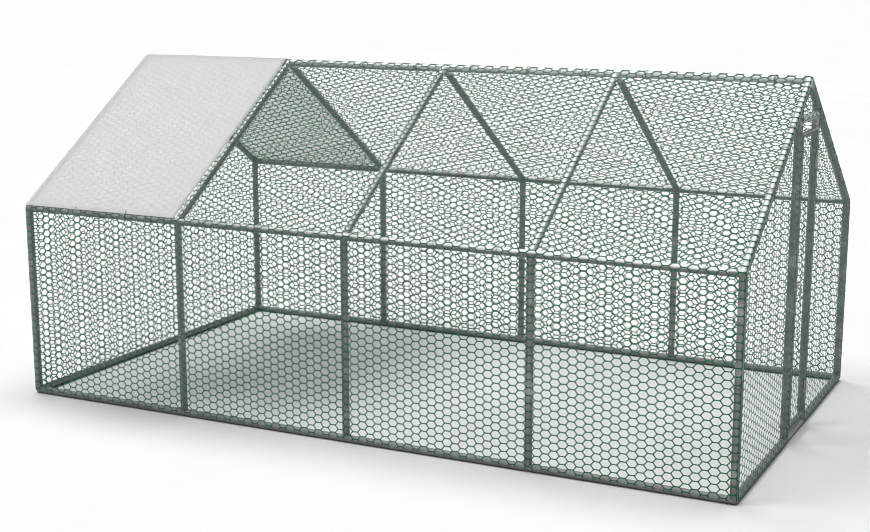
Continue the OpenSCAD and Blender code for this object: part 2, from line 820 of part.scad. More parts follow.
NODES = concat(
    [for (side = ["near", "far"]) each [str("bottom_rail_", side), str("eave_rail_", side)]],
    ["bottom_rail_rear", "bottom_rail_front", "ridge_rail"],
    [for (i = posts) each [str("post_near_", i + 1), str("post_far_", i + 1)]],
    [for (i = posts) each [str("rafter_near_", i + 1), str("rafter_far_", i + 1)]],
    [
        "bottom_corner_hubs", "bottom_tee_hubs", "eave_corner_hubs", "eave_cross_hubs",
        "ridge_end_hubs", "ridge_cross_hubs", "frame_screws",
        "door_post_hinge", "door_post_latch", "lintel",
        "leaf_stile_hinge", "leaf_stile_latch", "leaf_top_rail", "leaf_bottom_rail",
        "hinge_frame_wings", "hinge_leaf_wings", "hinge_pins",
        "latch_sleeve", "latch_bolt", "latch_keeper", "door_screws",
        "net_wall_near", "net_wall_far", "net_roof_near", "net_roof_far", "net_rear_gable",
        "net_front_gable_near", "net_front_gable_far", "net_over_door", "net_door",
        "frame_ties", "door_ties", "cover"
    ]
);
node = "all";

function wanted(name) = node == "all" || node == name;

if (wanted("bottom_rail_near")) for (t = bottom_tubes(near)) frame_tube(t);
if (wanted("bottom_rail_far")) for (t = bottom_tubes(far)) frame_tube(t);
if (wanted("bottom_rail_rear")) frame_tube(end_tube(-1));
if (wanted("bottom_rail_front")) frame_tube(end_tube(1));
if (wanted("eave_rail_near")) for (t = eave_tubes(near)) frame_tube(t);
if (wanted("eave_rail_far")) for (t = eave_tubes(far)) frame_tube(t);
if (wanted("ridge_rail")) for (t = ridge_tubes) frame_tube(t);
for (i = posts) {
    if (wanted(str("post_near_", i + 1))) frame_tube(post_tube(i, near));
    if (wanted(str("post_far_", i + 1))) frame_tube(post_tube(i, far));
    if (wanted(str("rafter_near_", i + 1))) frame_tube(rafter_tube(i, near));
    if (wanted(str("rafter_far_", i + 1))) frame_tube(rafter_tube(i, far));
}
if (wanted("bottom_corner_hubs")) for (i = end_posts, side = sides) hub(foot(i, side));
if (wanted("bottom_tee_hubs")) for (i = inner_posts, side = sides) hub(foot(i, side));
if (wanted("eave_corner_hubs")) for (i = end_posts, side = sides) hub(eave(i, side));
if (wanted("eave_cross_hubs")) for (i = inner_posts, side = sides) hub(eave(i, side));
if (wanted("ridge_end_hubs")) for (i = end_posts) hub(ridge(i));
if (wanted("ridge_cross_hubs")) for (i = inner_posts) hub(ridge(i));
if (wanted("frame_screws")) frame_screws();
if (wanted("door_post_hinge")) door_post(far);
if (wanted("door_post_latch")) door_post(near);
if (wanted("lintel")) lintel();
if (wanted("leaf_stile_hinge")) leaf_stile(far);
if (wanted("leaf_stile_latch")) leaf_stile(near);
if (wanted("leaf_top_rail")) leaf_rail(leaf_top, -1);
if (wanted("leaf_bottom_rail")) leaf_rail(leaf_bottom, 1);
if (wanted("hinge_frame_wings")) hinge_frame_wings();
if (wanted("hinge_leaf_wings")) hinge_leaf_wings();
if (wanted("hinge_pins")) hinge_pins();
if (wanted("latch_sleeve")) latch_sleeve();
if (wanted("latch_bolt")) latch_bolt();
if (wanted("latch_keeper")) latch_keeper();
if (wanted("door_screws")) door_screws();
if (wanted("net_wall_near")) net_wall(near);
if (wanted("net_wall_far")) net_wall(far);
if (wanted("net_roof_near")) net_roof(near);
if (wanted("net_roof_far")) net_roof(far);
if (wanted("net_rear_gable")) net_rear_gable();
if (wanted("net_front_gable_near")) net_front_gable(near);
if (wanted("net_front_gable_far")) net_front_gable(far);
if (wanted("net_over_door")) net_over_door();
if (wanted("net_door")) net_door();
if (wanted("frame_ties")) frame_ties();
if (wanted("door_ties")) door_ties();
if (wanted("cover")) cover();
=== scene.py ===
"""A walk-in chicken run: tube frame, hexagonal wire netting, a roof sheet and a net door.

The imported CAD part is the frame. Its tubes, connectors, screws, ties, hinges and latch are shown as they are.
The coarse nets are replaced by netting at its real mesh size, and the stiff roof sheet by hemmed cloth.
All sizes are in metres. The run lies along x, its door at the high end, and the near side is at low y.
"""
import math

import bpy
import numpy as np
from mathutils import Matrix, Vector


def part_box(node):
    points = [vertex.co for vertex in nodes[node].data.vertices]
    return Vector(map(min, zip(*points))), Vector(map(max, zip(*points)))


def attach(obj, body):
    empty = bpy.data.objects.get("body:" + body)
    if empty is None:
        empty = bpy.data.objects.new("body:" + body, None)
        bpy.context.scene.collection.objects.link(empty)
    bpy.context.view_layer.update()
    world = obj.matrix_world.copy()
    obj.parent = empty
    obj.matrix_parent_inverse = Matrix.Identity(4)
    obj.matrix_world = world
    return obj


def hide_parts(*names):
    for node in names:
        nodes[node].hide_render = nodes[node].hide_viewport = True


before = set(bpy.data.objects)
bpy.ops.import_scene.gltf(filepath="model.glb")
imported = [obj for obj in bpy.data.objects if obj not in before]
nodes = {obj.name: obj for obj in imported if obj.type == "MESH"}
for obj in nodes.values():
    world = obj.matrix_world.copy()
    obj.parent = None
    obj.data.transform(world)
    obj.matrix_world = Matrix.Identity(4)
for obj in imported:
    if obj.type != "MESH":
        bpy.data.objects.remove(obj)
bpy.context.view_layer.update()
scene = bpy.context.scene


# Sizes, read from the frame

def middle(node):
    """The middle of a CAD node's box."""
    low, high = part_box(node)
    return (low + high) / 2


ridge_z = middle("ridge_rail").z
eave_z = middle("eave_rail_near").z
foot_z = middle("bottom_rail_front").z
half_w = -middle("eave_rail_near").y
half_l = middle("bottom_rail_front").x
bay_len = middle("post_near_2").x - middle("post_near_1").x
jamb_y = middle("door_post_hinge").y
lintel_z = middle("lintel").z
stile_y = middle("leaf_stile_hinge").y
leaf_foot_z = middle("leaf_bottom_rail").z
leaf_head_z = middle("leaf_top_rail").z
# From the middle of a tube to the middle of the net on it
net_off = -middle("net_wall_near").y - half_w
roof_rise = ridge_z - eave_z
slope = math.atan2(roof_rise, half_w)
slope_len = math.hypot(roof_rise, half_w)

NEAR, FAR = -1, 1


def rafter_z(y):
    """Height of the rafters' middle line at a place across the run."""
    return ridge_z - abs(y) * roof_rise / half_w


def roof_axes(side):
    """Two directions on one slope of the roof: straight out of it, and up it."""
    outward = np.array((0, side * math.sin(slope), math.cos(slope)))
    uphill = np.array((0, -side * math.cos(slope), math.sin(slope)))
    return outward, uphill


# Nodes that the materials are made of

def new_material(name):
    """A new node material; returns it with its tree and its Principled shader."""
    material = bpy.data.materials.new(name)
    material.use_nodes = True
    tree = material.node_tree
    return material, tree, tree.nodes["Principled BSDF"]


def add_node(tree, kind, **settings):
    """A shader node; settings name its attributes, or its inputs where they are capitalised."""
    node = tree.nodes.new(kind)
    for key, value in settings.items():
        if key[0].isupper():
            node.inputs[key.replace("_", " ")].default_value = value
        else:
            setattr(node, key, value)
    return node


def place(tree, scale=(1, 1, 1)):
    """The point on the object, stretched by scale."""
    where = add_node(tree, "ShaderNodeTexCoord")
    scaled = add_node(tree, "ShaderNodeMapping", Scale=scale)
    tree.links.new(where.outputs["Object"], scaled.inputs["Vector"])
    return scaled.outputs["Vector"]


def component(tree, vector, letter):
    """One of the three numbers of a vector."""
    parts = add_node(tree, "ShaderNodeSeparateXYZ")
    tree.links.new(vector, parts.inputs["Vector"])
    return parts.outputs[letter]


def noise(tree, vector, scale, detail=4, rough=0.55):
    """Soft irregular blotches, about scale of them to a metre."""
    texture = add_node(tree, "ShaderNodeTexNoise", Scale=scale, Detail=detail, Roughness=rough)
    tree.links.new(vector, texture.inputs["Vector"])
    return texture.outputs["Fac"]


def calculated(tree, operation, *terms):
    """The result of one operation; its terms are the outputs of other nodes, or numbers."""
    node = add_node(tree, "ShaderNodeMath", operation=operation)
    for socket, term in zip(node.inputs, terms):
        if isinstance(term, bpy.types.NodeSocket):
            tree.links.new(term, socket)
        else:
            socket.default_value = term
    return node.outputs["Value"]


def remapped(tree, value, before, after, interpolation="LINEAR"):
    """A value carried from one range over to another, and kept inside it."""
    node = add_node(tree, "ShaderNodeMapRange", interpolation_type=interpolation)
    for socket, number in zip(("From Min", "From Max", "To Min", "To Max"), (*before, *after)):
        node.inputs[socket].default_value = number
    tree.links.new(value, node.inputs["Value"])
    return node.outputs["Result"]


def between(tree, share, low, high):
    """The number that lies a share of the way from low to high."""
    return remapped(tree, share, (0, 1), (low, high))


def toned(tree, pattern, colour, shades):
    """A colour that varies with a pattern; shades are pairs of a place in it and a brightness."""
    node = add_node(tree, "ShaderNodeValToRGB")
    points = node.color_ramp.elements
    while len(points) < len(shades):
        points.new(0.5)
    for point, (spot, brightness) in zip(points, shades):
        point.position = spot
        point.color = (*(channel * brightness for channel in colour), 1)
    tree.links.new(pattern, node.inputs["Fac"])
    return node.outputs["Color"]


def mixed_colour(tree, share, low, high):
    """The colour that lies a share of the way from low to high."""
    node = add_node(tree, "ShaderNodeMixRGB")
    for socket, source in (("Fac", share), ("Color1", low), ("Color2", high)):
        tree.links.new(source, node.inputs[socket])
    return node.outputs["Color"]


def bump(tree, shader, height, strength, distance):
    """Fine relief on a shader's surface."""
    node = add_node(tree, "ShaderNodeBump", Strength=strength, Distance=distance)
    tree.links.new(height, node.inputs["Height"])
    tree.links.new(node.outputs["Normal"], shader.inputs["Normal"])


def upper_sides(tree, stains, low, high):
    """How far a surface faces up, from 0 at low to 1 at high and above, with a ragged border; the mask of the
    painted top light.
    """
    raggedness = 0.5
    facing = add_node(tree, "ShaderNodeNewGeometry").outputs["Normal"]
    ragged = calculated(tree, "MULTIPLY_ADD", stains, raggedness, component(tree, facing, "Z"))
    return remapped(tree, ragged, (low, high), (0, 1), "SMOOTHSTEP")


def towards_front(tree, start, stop):
    """A share that grows along the run between two places, to 1 at its front; it makes the painted top
    highlight strongest there.
    """
    rear_share = 0.25
    along = component(tree, place(tree), "X")
    return remapped(tree, along, (start, stop), (rear_share, 1), "SMOOTHSTEP")


# Finishes

def galvanised(name, painted_top_light, rough=0.33, low=0.2, high=0.65, fade=(-half_l, half_l / 2)):
    """Zinc coated steel: crystals a few millimetres wide over soft stains, with fine drawing marks.

    Its upper sides are painted pale, a painted highlight of the light from above, palest at the front of the
    run. It covers the sides that face up by more than high, and fades out at low. fade says where along the run
    it grows.
    """
    zinc = (0.175, 0.181, 0.177)
    metallic = 0.86
    # What the painted top light leaves of the metal's shine, and how much rougher it makes the surface
    shine_left = 0.4
    painted_top_rough = 0.12
    # How far the crystals and stains take the bare metal's roughness down and up
    smoother = 0.06
    rougher = 0.08
    crystal_share = 0.35
    material, tree, shader = new_material(name)
    where = place(tree)
    crystals = add_node(tree, "ShaderNodeTexVoronoi", Scale=130.0)
    tree.links.new(where, crystals.inputs["Vector"])
    spangle = add_node(tree, "ShaderNodeSeparateColor")
    tree.links.new(crystals.outputs["Color"], spangle.inputs["Color"])
    stains = noise(tree, where, scale=9)
    pattern = calculated(tree, "MULTIPLY_ADD", spangle.outputs["Red"], crystal_share, stains)
    bare = toned(tree, pattern, zinc, [(0.35, 0.78), (0.65, 1), (0.95, 1.22)])
    painted_top_tone = toned(tree, pattern, painted_top_light, [(0.35, 0.86), (0.65, 1), (0.95, 1.14)])
    # Painted highlight: paler on the upper sides, strongest towards the front of the run
    facing_up = upper_sides(tree, stains, low, high)
    upper = calculated(tree, "MULTIPLY", facing_up, towards_front(tree, *fade))
    tree.links.new(mixed_colour(tree, upper, bare, painted_top_tone), shader.inputs["Base Color"])
    tree.links.new(between(tree, upper, metallic, metallic * shine_left), shader.inputs["Metallic"])
    patchy = between(tree, pattern, rough - smoother, rough + rougher)
    roughness = calculated(tree, "MULTIPLY_ADD", upper, painted_top_rough, patchy)
    tree.links.new(roughness, shader.inputs["Roughness"])
    marks = noise(tree, where, scale=320, detail=3)
    bump(tree, shader, marks, strength=0.16, distance=0.0004)
    return material


def plated(name, colour):
    """Zinc plated small parts: bright, with soft blotches and fine scratches."""
    material, tree, shader = new_material(name)
    where = place(tree)
    blotches = noise(tree, where, scale=60)
    tone = toned(tree, blotches, colour, [(0.3, 0.8), (0.7, 1.1)])
    tree.links.new(tone, shader.inputs["Base Color"])
    shader.inputs["Metallic"].default_value = 0.9
    tree.links.new(between(tree, blotches, low=0.28, high=0.45), shader.inputs["Roughness"])
    scratches = noise(tree, where, scale=900, detail=2)
    bump(tree, shader, scratches, strength=0.1, distance=0.0002)
    return material


def coated_wire(name, colour):
    """Plastic coated wire: glossy, paler where weather has dulled it."""
    material, tree, shader = new_material(name)
    where = place(tree)
    weather = noise(tree, where, scale=5)
    tone = toned(tree, weather, colour, [(0.3, 0.8), (0.7, 1.2)])
    tree.links.new(tone, shader.inputs["Base Color"])
    tree.links.new(between(tree, weather, low=0.38, high=0.55), shader.inputs["Roughness"])
    shader.inputs["Specular IOR Level"].default_value = 0.2
    grain = noise(tree, where, scale=700, detail=2)
    bump(tree, shader, grain, strength=0.15, distance=0.0003)
    return material


def moulded(name, colour, painted_top_colour):
    """Moulded nylon with a fine grain, with a painted highlight that makes its upper sides paler."""
    material, tree, shader = new_material(name)
    where = place(tree)
    grain = noise(tree, where, scale=1200, detail=2)
    blotches = noise(tree, where, scale=30)
    shaded = toned(tree, blotches, colour, [(0.3, 0.85), (0.7, 1.15)])
    painted_top_nylon = toned(tree, blotches, painted_top_colour, [(0.3, 0.94), (0.7, 1.06)])
    # Painted top light: paler on the upper sides
    upper = upper_sides(tree, blotches, low=0.35, high=0.8)
    tree.links.new(mixed_colour(tree, upper, shaded, painted_top_nylon), shader.inputs["Base Color"])
    tree.links.new(between(tree, grain, low=0.42, high=0.58), shader.inputs["Roughness"])
    bump(tree, shader, grain, strength=0.2, distance=0.0002)
    return material


def woven_sheet(name, colour):
    """Coated tape weave: flat tapes crossing every few millimetres, with faint creases."""
    weave_share = 0.25
    material, tree, shader = new_material(name)
    where = place(tree)
    tapes = []
    for direction in ("X", "Y"):
        wave = add_node(tree, "ShaderNodeTexWave", wave_type="BANDS", bands_direction=direction,
                        Scale=125.0, Distortion=0.3)
        tree.links.new(where, wave.inputs["Vector"])
        tapes.append(wave.outputs["Fac"])
    weave = calculated(tree, "MAXIMUM", *tapes)
    creases = noise(tree, place(tree, scale=(1, 0.4, 0.4)), scale=6, detail=6, rough=0.6)
    tone = toned(tree, creases, colour, [(0.25, 0.97), (0.75, 1.02)])
    tree.links.new(tone, shader.inputs["Base Color"])
    tree.links.new(between(tree, creases, low=0.5, high=0.68), shader.inputs["Roughness"])
    height = calculated(tree, "MULTIPLY_ADD", weave, weave_share, creases)
    bump(tree, shader, height, strength=0.12, distance=0.0015)
    # Daylight comes through the thin coated cloth
    shader.inputs["Subsurface Weight"].default_value = 0.9
    shader.inputs["Subsurface Radius"].default_value = (1, 1, 1)
    shader.inputs["Subsurface Scale"].default_value = 0.006
    return material


# Colours of the painted highlight on the tubes' upper sides: white, pale and grey. The ridge is painted pale
# almost all round
WHITE_TOP_LIGHT = (0.84, 0.845, 0.835)
PALE_TOP_LIGHT = (0.70, 0.705, 0.695)
GREY_TOP_LIGHT = (0.26, 0.265, 0.26)
tube_metal = galvanised("tube_zinc", WHITE_TOP_LIGHT, fade=(-half_l / 2, half_l * 3 / 4))
rafter_metal = galvanised("rafter_zinc", PALE_TOP_LIGHT, low=0.45, high=1.0)
hub_metal = galvanised("connector_zinc", PALE_TOP_LIGHT, rough=0.35, low=0.4, high=0.85)
ridge_metal = galvanised("ridge_zinc", WHITE_TOP_LIGHT, low=-0.9, high=0.5)
# The foot rails and the door leaf get only a faint grey painted top light
weak_top_light_metal = galvanised("weak_top_light_zinc", GREY_TOP_LIGHT)
small_metal = plated("plated_steel", (0.42, 0.43, 0.44))
wire_coat = coated_wire("green_wire", (0.013, 0.160, 0.068))
# Ties: dark grey nylon, painted paler on the upper sides as a painted highlight
tie_nylon = moulded("tie_nylon", (0.150, 0.160, 0.154), (0.60, 0.605, 0.60))
sheet_weave = woven_sheet("sheet_weave", (0.755, 0.755, 0.755))
eyelet_metal = plated("eyelet_steel", (0.55, 0.55, 0.54))


def finish_of(name):
    """The finish of a CAD node, told by its name."""
    if name.startswith("ridge"):
        return ridge_metal
    if name.startswith("rafter"):
        return rafter_metal
    # Foot rails and door leaf: a faint painted top light
    if name.startswith(("bottom", "leaf")):
        return weak_top_light_metal
    if name.endswith("hubs"):
        return hub_metal
    if name.endswith("ties"):
        return tie_nylon
    if name.endswith("screws") or name.startswith(("hinge", "latch")):
        return small_metal
    return tube_metal


for name, node in nodes.items():
    node.data.materials.clear()
    node.data.materials.append(finish_of(name))


# Netting

MESH_W = 0.0427
MESH_H = 0.039
# Share of a column's width that its twisted strands take up
TWIST_SHARE = 0.62
# Width in the net and thickness of a coated wire, of one strand of a twist and of an edge wire
WIRE = (0.0063, 0.0015)
STRAND = (0.0042, 0.0013)
EDGE = (0.0026, 0.0024)
# Corners of their sections
WIRE_SIDES = 6
STRAND_SIDES = 4
# Points along a strand and along an edge wire
STRAND_POINTS = 4
EDGE_POINTS = 60
# How far the strands of a twist wind off its middle line, in the net and out of it
WIND = (0.0017, 0.0004)
# Share of its length that a cut wire has to keep, or else it is left out
SHORTEST_SHARE = 0.02
# Room round a hinge or latch where the net is snipped for it
NOTCH_GAP = 0.001
# How far apart in height two fittings of one node are at least
FITTINGS_APART = 0.1
# How far the side and roof nets are turned round the tubes of the end frames
END_WRAP = math.radians(52)
# Share of the bend over the eave tube that the side nets take; the roof nets take the rest
EAVE_SHARE = 0.86


def span_inside(lines, outline):
    """Where each flat line enters and leaves a convex outline, as shares of its length."""
    # A line that lies outside enters past its own end
    never = 2
    start = np.zeros(len(lines))
    stop = np.ones(len(lines))
    for corner, following in zip(outline, np.roll(outline, -1, axis=0)):
        inward = np.array([corner[1] - following[1], following[0] - corner[0]])
        # How far inside this side of the outline the two ends of each line are
        first = (lines[:, 0] - corner) @ inward
        last = (lines[:, 1] - corner) @ inward
        crossing = first / np.where(first == last, 1, first - last)
        entry = np.where(last < 0, never, crossing)
        start = np.where(first < 0, np.maximum(start, entry), start)
        stop = np.where((first >= 0) & (last < 0), np.minimum(stop, crossing), stop)
    return start, stop


def stretch(lines, start, stop):
    """The parts of lines between two shares of their length, without those that have none."""
    first = lines[:, 0]
    along = lines[:, 1] - first
    parts = np.stack([first + along * start[:, None], first + along * stop[:, None]], axis=1)
    return parts[stop - start > SHORTEST_SHARE]


def fitted(lines, outline, notches):
    """Lines cut off at an outline and at the notches in it."""
    lines = stretch(lines, *span_inside(lines, outline))
    for notch in notches:
        start, stop = span_inside(lines, notch)
        missed = start >= stop
        start[missed], stop[missed] = 1, 1
        before = stretch(lines, np.zeros(len(lines)), start)
        after = stretch(lines, stop, np.ones(len(lines)))
        lines = np.concatenate([before, after])
    return lines


def mesh_lines(outline):
    """Twists and plain wires of a sheet of netting that covers an outline, its twists level."""
    low, high = outline.min(axis=0), outline.max(axis=0)
    cols = 2 * max(1, round((high[0] - low[0]) / (2 * MESH_W)))
    rows = max(2, round((high[1] - low[1]) / MESH_H))
    pitch, row = (high - low) / (cols, rows)
    half_twist = TWIST_SHARE * pitch / 2
    col, step = np.meshgrid(np.arange(-1, cols + 1), np.arange(-1, rows + 1), indexing="ij")
    # Twists keep off the level and upright edges, where only plain wires are cut
    u = low[0] + (col.ravel() + 0.5) * pitch
    v = low[1] + (step.ravel() + 0.25 + 0.5 * (col.ravel() % 2)) * row
    left = np.stack([u - half_twist, v], axis=1)
    right = np.stack([u + half_twist, v], axis=1)
    twists = np.stack([left, right], axis=1)
    wires = [
        np.stack([right, right + (pitch - 2 * half_twist, rise * row / 2)], axis=1)
        for rise in (-1, 1)
    ]
    return twists, np.concatenate(wires)


class Surface:
    """A net's flat coordinates in the run.

    Past its straight width and height the net bends round the tubes that carry it.
    """

    def __init__(self, origin, across, up, outward, half_width=math.inf, height=math.inf):
        self.origin = np.array(origin, float)
        self.across = np.array(across, float)
        self.up = np.array(up, float)
        self.outward = np.array(outward, float)
        self.half_width = half_width
        self.height = height

    def straight(self, flat):
        """The nearest places on the net's straight part."""
        u = np.clip(flat[..., :1], -self.half_width, self.half_width)
        v = np.clip(flat[..., 1:], 0, self.height)
        return u, v

    def outward_at(self, flat):
        """The direction straight out of the net at each flat place."""
        u, v = self.straight(flat)
        aside = (flat[..., :1] - u) / net_off
        over = (flat[..., 1:] - v) / net_off
        upright = np.cos(over) * self.outward + np.sin(over) * self.up
        return np.cos(aside) * upright + np.sin(aside) * self.across

    def points(self, flat):
        """The points in the run at each flat place."""
        u, v = self.straight(flat)
        bend = self.outward_at(flat) - self.outward
        return self.origin + u * self.across + v * self.up + net_off * bend

    def bends(self, lines):
        """Which flat lines leave the net's straight part."""
        u, v = self.straight(lines)
        return np.any(np.concatenate([u, v], axis=-1) != lines, axis=(1, 2))

    def flat(self, points):
        """Points in the run, seen straight onto the net."""
        offset = points - self.origin
        return np.stack([offset @ self.across, offset @ self.up], axis=-1)


def swept(paths, outward, section, sides):
    """Vertices and faces of oval wires along many paths of the same number of points."""
    along = paths[:, -1] - paths[:, 0]
    aside = np.cross(outward, along)
    aside /= np.linalg.norm(aside, axis=1, keepdims=True)
    # A corner of the ring points straight out, so that no face lies flat in the net
    turn = math.pi / 2 + np.arange(sides) * 2 * math.pi / sides
    width, thickness = section
    ring = (np.cos(turn)[None, :, None] * aside[:, None, :] * width / 2
            + np.sin(turn)[None, :, None] * outward[:, None, :] * thickness / 2)
    vertices = paths[:, :, None, :] + ring[:, None, :, :]
    count, stations = paths.shape[:2]
    index = np.arange(count * stations * sides).reshape(count, stations, sides)
    ahead = np.roll(index, -1, axis=2)
    faces = np.stack([index[:, :-1], ahead[:, :-1], ahead[:, 1:], index[:, 1:]], axis=-1)
    return vertices.reshape(-1, 3), faces.reshape(-1, 4)


def along_lines(ends, stations):
    """Evenly spaced places along each flat line."""
    share = np.linspace(0, 1, stations)[None, :, None]
    return ends[:, :1] * (1 - share) + ends[:, 1:] * share


def twisted(surface, ends):
    """Paths of the two strands that wind once round each other along each flat line."""
    flat = along_lines(ends, STRAND_POINTS)
    middle_line = surface.points(flat)
    outward = surface.outward_at(flat)
    aside = np.cross(outward, middle_line[:, -1:] - middle_line[:, :1])
    aside /= np.linalg.norm(aside, axis=2, keepdims=True)
    strands = []
    for phase in (0, math.pi):
        turn = phase + 2 * math.pi * np.linspace(0, 1, STRAND_POINTS)[None, :, None]
        strands.append(middle_line + WIND[0] * np.cos(turn) * aside + WIND[1] * np.sin(turn) * outward)
    return np.concatenate(strands)


def halved(lines, chosen):
    """Lines, with the chosen ones cut in two so that they follow a bend."""
    ends = lines[chosen]
    halfway = ends.mean(axis=1)
    first = np.stack([ends[:, 0], halfway], axis=1)
    second = np.stack([halfway, ends[:, 1]], axis=1)
    return np.concatenate([lines[~chosen], first, second])


def mesh_object(name, vertices, faces, material, smooth=True):
    """A new object in the scene, with one mesh and one material."""
    mesh = bpy.data.meshes.new(name)
    mesh.from_pydata(vertices.tolist(), [], faces.tolist())
    mesh.materials.append(material)
    if smooth:
        mesh.shade_smooth()
    made = bpy.data.objects.new(name, mesh)
    scene.collection.objects.link(made)
    return made


def add_flat_map(made, flat):
    """A map for baking, from each vertex's place in the net."""
    low, high = flat.min(axis=0), flat.max(axis=0)
    layer = made.data.uv_layers.new(name="OFBake")
    corner = np.empty(len(made.data.loops), np.int32)
    made.data.loops.foreach_get("vertex_index", corner)
    layer.data.foreach_set("uv", ((flat - low) / (high - low))[corner].ravel())


def make_net(node, body, surface, outline, notches=(), wired=slice(None)):
    """Hexagonal netting, cut to its outline, in place of a CAD net.

    wired chooses the sides of the outline that have an edge wire.
    """
    outline = np.array(outline, float)
    twists, wires = (fitted(lines, outline, notches) for lines in mesh_lines(outline))
    wires = halved(wires, surface.bends(wires))
    edges = np.stack([outline, np.roll(outline, -1, axis=0)], axis=1)[wired]
    edges = fitted(edges, outline, notches)
    twist_out, wire_out, edge_out = (
        surface.outward_at(lines.mean(axis=1)) for lines in (twists, wires, edges)
    )
    parts = [
        swept(twisted(surface, twists), np.concatenate([twist_out, twist_out]), STRAND, STRAND_SIDES),
        swept(surface.points(wires), wire_out, WIRE, WIRE_SIDES),
        swept(surface.points(along_lines(edges, EDGE_POINTS)), edge_out, EDGE, WIRE_SIDES),
    ]
    vertices = np.concatenate([part[0] for part in parts])
    shift = np.cumsum([0] + [len(part[0]) for part in parts[:-1]])
    faces = np.concatenate([part[1] + first for part, first in zip(parts, shift)])
    made = mesh_object("wire_" + node, vertices, faces, wire_coat)
    add_flat_map(made, surface.flat(vertices))
    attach(made, body)
    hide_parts(node)


def notch_round(node):
    """Flat outlines, one for each solid of a fitting, where the front nets are snipped for it."""
    points = np.array([vertex.co for vertex in nodes[node].data.vertices])
    points = points[np.argsort(points[:, 2])]
    breaks = np.flatnonzero(np.diff(points[:, 2]) > FITTINGS_APART) + 1
    found = []
    for group in np.split(points, breaks):
        low = group[:, 1:].min(axis=0) - NOTCH_GAP
        high = group[:, 1:].max(axis=0) + NOTCH_GAP
        found.append(np.array([low, (high[0], low[1]), high, (low[0], high[1])]))
    return found


def gable(end):
    """The flat surface of the nets at one end of the run."""
    return Surface((end * (half_l + net_off), 0, 0), (0, 1, 0), (0, 0, 1), (end, 0, 0))


def long_strip(low, high):
    """Outline of a net that runs the whole length of the run and round its end frames."""
    end = half_l + net_off * END_WRAP
    return [(-end, low), (end, low), (end, high), (-end, high)]


def make_side_nets():
    """Nets of the side walls and the roof, with edge wires at their ends."""
    wall_h = eave_z - foot_z
    # The side and roof nets meet on the eave tube, and the roof nets on top of the ridge tube
    eave_bend = net_off * (math.pi / 2 - slope)
    wall_top = wall_h + eave_bend * EAVE_SHARE
    roof_foot = -eave_bend * (1 - EAVE_SHARE)
    roof_top = slope_len + net_off * slope
    ends_only = slice(1, None, 2)
    for side, word in ((NEAR, "near"), (FAR, "far")):
        wall_at = (0, side * (half_w + net_off), foot_z)
        wall = Surface(wall_at, (1, 0, 0), (0, 0, 1), (0, side, 0), half_l, wall_h)
        make_net(f"net_wall_{word}", "frame", wall, long_strip(0, wall_top), wired=ends_only)
        outward, uphill = roof_axes(side)
        eave = np.array((0, side * half_w, eave_z))
        roof = Surface(eave + outward * net_off, (1, 0, 0), uphill, outward, half_l, slope_len)
        make_net(f"net_roof_{word}", "frame", roof, long_strip(roof_foot, roof_top), wired=ends_only)


def make_gable_nets():
    """Nets of the rear gable, and of the front one round its door and on it."""
    jamb_top = rafter_z(jamb_y)
    make_net("net_rear_gable", "frame", gable(-1), [
        (-half_w, foot_z), (half_w, foot_z), (half_w, eave_z), (0, ridge_z), (-half_w, eave_z)
    ])
    front = gable(1)
    make_net("net_front_gable_far", "frame", front, [
        (jamb_y, foot_z), (half_w, foot_z), (half_w, eave_z), (jamb_y, jamb_top)
    ], notch_round("hinge_frame_wings"))
    make_net("net_front_gable_near", "frame", front, [
        (-half_w, foot_z), (-jamb_y, foot_z), (-jamb_y, jamb_top), (-half_w, eave_z)
    ], notch_round("latch_keeper"))
    make_net("net_over_door", "frame", front, [
        (-jamb_y, lintel_z), (jamb_y, lintel_z), (jamb_y, jamb_top), (0, ridge_z), (-jamb_y, jamb_top)
    ])
    make_net("net_door", "door", front, [
        (-stile_y, leaf_foot_z), (stile_y, leaf_foot_z), (stile_y, leaf_head_z), (-stile_y, leaf_head_z)
    ], notch_round("hinge_leaf_wings") + notch_round("latch_sleeve"))


# Roof sheet

SHEET_T = 0.0008
HEM_W = 0.028
HEM_T = 0.0005
# Width of the step from the hem down to the single cloth
HEM_STEP = 0.0012
# How far the sheet reaches past the middle of the eave tubes
LAP = 0.003
# Radius of an eyelet's hole and width of its ring
EYELET_R = 0.006
EYELET_W = 0.0045
# How far the middle of a ring's section stands off the hem, and half its thickness
RING_RISE = 0.0006
RING_HALF_T = 0.0009
# How far up the slope the eyelets are from the middle of the eave tube
EYELET_RISE = 0.0088
# Eyelets along each eave, as shares of a bay
EYELET_PLACES = (1 / 3, 2 / 3)
# How far slack cloth is raised at the middle of its ripples, and the share by which that varies
RIPPLE = 0.0012
RIPPLE_SHARE = 0.6
# Radians per metre of the short waves along the run, and of the long ones that cross them aslant
SHORT_TURN = 23
LONG_TURN = 9.0
LONG_SKEW = 5.0
# How far the short waves wander to and fro, in radians, and radians per metre of that
WANDER = 1.7
WANDER_TURN = 4.1
# Width along the borders where the cloth is taut, and the width over which it slackens further in
TAUT_W = 0.05
SLACKENS_W = 0.2
# Spacing of the cloth's grid, and the share of it that is kept clear round a hem or hole
GRID_STEP = 0.02
CLEAR_SHARE = 0.35

sheet_low, sheet_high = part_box("cover")
# From the middle of the tubes to the sheet's outer face
sheet_off = sheet_high.z - ridge_z - SHEET_T
fold_len = sheet_off * 2 * slope
# Width of the sheet, measured over the roof from its near border to its far one
path_len = 2 * (slope_len + LAP) + fold_len
eyelet_path = LAP + EYELET_RISE
eyelet_x = [-half_l + bay_len * share for share in EYELET_PLACES]


def grid_lines(start, stop, marks):
    """Even steps from start to stop, with lines at the marks in place of steps close to them."""
    even = np.linspace(start, stop, round((stop - start) / GRID_STEP) + 1)
    gap = np.min(np.abs(even[:, None] - np.array(marks)[None, :]), axis=1)
    keep = gap >= GRID_STEP * CLEAR_SHARE
    keep[[0, -1]] = True
    return np.unique(np.concatenate([even[keep], marks]))


